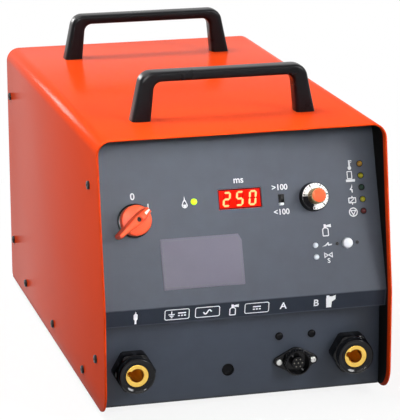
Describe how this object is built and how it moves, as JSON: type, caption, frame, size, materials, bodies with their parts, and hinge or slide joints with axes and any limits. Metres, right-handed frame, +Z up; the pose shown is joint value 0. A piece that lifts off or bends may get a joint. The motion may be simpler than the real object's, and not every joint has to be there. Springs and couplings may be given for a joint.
{
  "type": "stud welder",
  "caption": "Drawn-arc stud welding power unit: folded sheet case with bridge handles, raked control panel with switch, display and dials, and recessed weld sockets.",
  "frame": {"origin": "on the floor under the middle of the case", "axes": "+Z up, +Y from the front to the back of the case, +X to the right seen from the front"},
  "size_m": [0.2844, 0.485, 0.315],
  "materials": {
    "cover_paint": "glossy orange-red powder coat",
    "panel_paint": "fine-textured dark grey paint",
    "tray_steel": "zinc-plated sheet",
    "foot_rubber": "matt black",
    "black_screw": "black oxide",
    "zinc_screw": "bright zinc",
    "handle_plastic": "satin black",
    "knob_red": "glossy orange-red",
    "black_plastic": "moulded black",
    "display_face": "lit red filter",
    "display_lit": "lit segments",
    "white_plastic": "white",
    "dial_white": "white with black marks",
    "knob_grey": "silver grey",
    "cap_orange": "orange-red",
    "lamp_lit": "lit yellow-green",
    "lamp_amber": "amber lens",
    "lamp_yellow": "yellow lens",
    "lamp_green": "dark green lens",
    "lamp_red": "dark red lens",
    "lamp_clear": "clear lens",
    "plate_silver": "bare satin plate",
    "socket_brass": "turned brass",
    "copper": "copper",
    "core_steel": "varnished laminations",
    "clamp_steel": "black painted steel",
    "board_green": "solder mask",
    "sink_aluminium": "extruded",
    "shaft_steel": "turned",
    "guard_wire": "plated wire"
  },
  "bodies": {
    "case": {"tray": "tray_steel", "rubber_feet": "foot_rubber", "connector_panel": "panel_paint", "control_panel": "panel_paint", "rear_panel": "panel_paint", "cover": "cover_paint", "cover_screws": "black_screw", "front_handle": "handle_plastic", "rear_handle": "handle_plastic", "handle_screws": "zinc_screw", "main_switch_rosette": "black_plastic", "main_switch_body": "black_plastic", "display_module": "display_face", "display_segments": "display_lit", "range_switch_housing": "black_plastic", "time_potentiometer": "tray_steel", "time_potentiometer_nut": "zinc_screw", "power_lamp": "lamp_lit", "amber_lamp": "lamp_amber", "yellow_lamps": "lamp_yellow", "green_lamp": "lamp_green", "red_lamp": "lamp_red", "mode_lamps": "lamp_clear", "mode_button_switch": "black_plastic", "mode_button_screws": "black_screw", "name_plate": "plate_silver", "control_board": "board_green", "board_spacers": "socket_brass", "left_weld_socket": "black_plastic", "right_weld_socket": "black_plastic", "left_weld_contact": "socket_brass", "right_weld_contact": "socket_brass", "weld_socket_nuts": "zinc_screw", "control_connector_shell": "black_plastic", "control_connector_insert": "black_plastic", "control_connector_screws": "zinc_screw", "small_plugs": "black_plastic", "gas_port_plug": "black_plastic", "bus_bars": "copper", "transformer_core": "core_steel", "transformer_windings": "copper", "transformer_clamps": "clamp_steel", "rectifier_heat_sink": "sink_aluminium", "rectifier_modules": "black_plastic", "fan_frame": "black_plastic", "fan_guard": "guard_wire", "fan_screws": "zinc_screw", "cable_gland_body": "black_plastic", "cable_gland_cap": "black_plastic"},
    "main_switch": {"main_switch_knob": "knob_red", "main_switch_shaft": "shaft_steel", "main_switch_knob_screw": "black_screw"},
    "time_knob": {"time_shaft": "shaft_steel", "time_knob_skirt": "black_plastic", "time_dial": "dial_white", "time_knob_barrel": "knob_grey", "time_knob_cap": "cap_orange"},
    "range_slider": {"range_switch_slider": "white_plastic"},
    "mode_button": {"mode_button": "white_plastic"},
    "fan": {"fan_rotor": "black_plastic"}
  },
  "joints": [
    {"name": "main_switch_turn", "type": "hinge", "parent": "case", "child": "main_switch", "pos_m": [-0.102, -0.20557, 0.18663], "axis": [0, -0.9466, 0.3223], "range_deg": [0, 52]},
    {"name": "time_knob_turn", "type": "hinge", "parent": "case", "child": "time_knob", "pos_m": [0.073, -0.20219, 0.19656], "axis": [0, -0.9466, 0.3223], "range_deg": [-150, 150]},
    {"name": "range_switch_slide", "type": "slide", "parent": "case", "child": "range_slider", "axis": [0, 0.3223, 0.9466], "range_m": [0, 0.0046]},
    {"name": "mode_button_press", "type": "slide", "parent": "case", "child": "mode_button", "axis": [0, 0.9466, -0.3223], "range_m": [0, 0.0015], "stiffness_N_per_m": 600},
    {"name": "fan_spin", "type": "hinge", "parent": "case", "child": "fan", "pos_m": [0, 0.1875, 0.168], "axis": [0, 1, 0], "continuous": true}
  ]
}
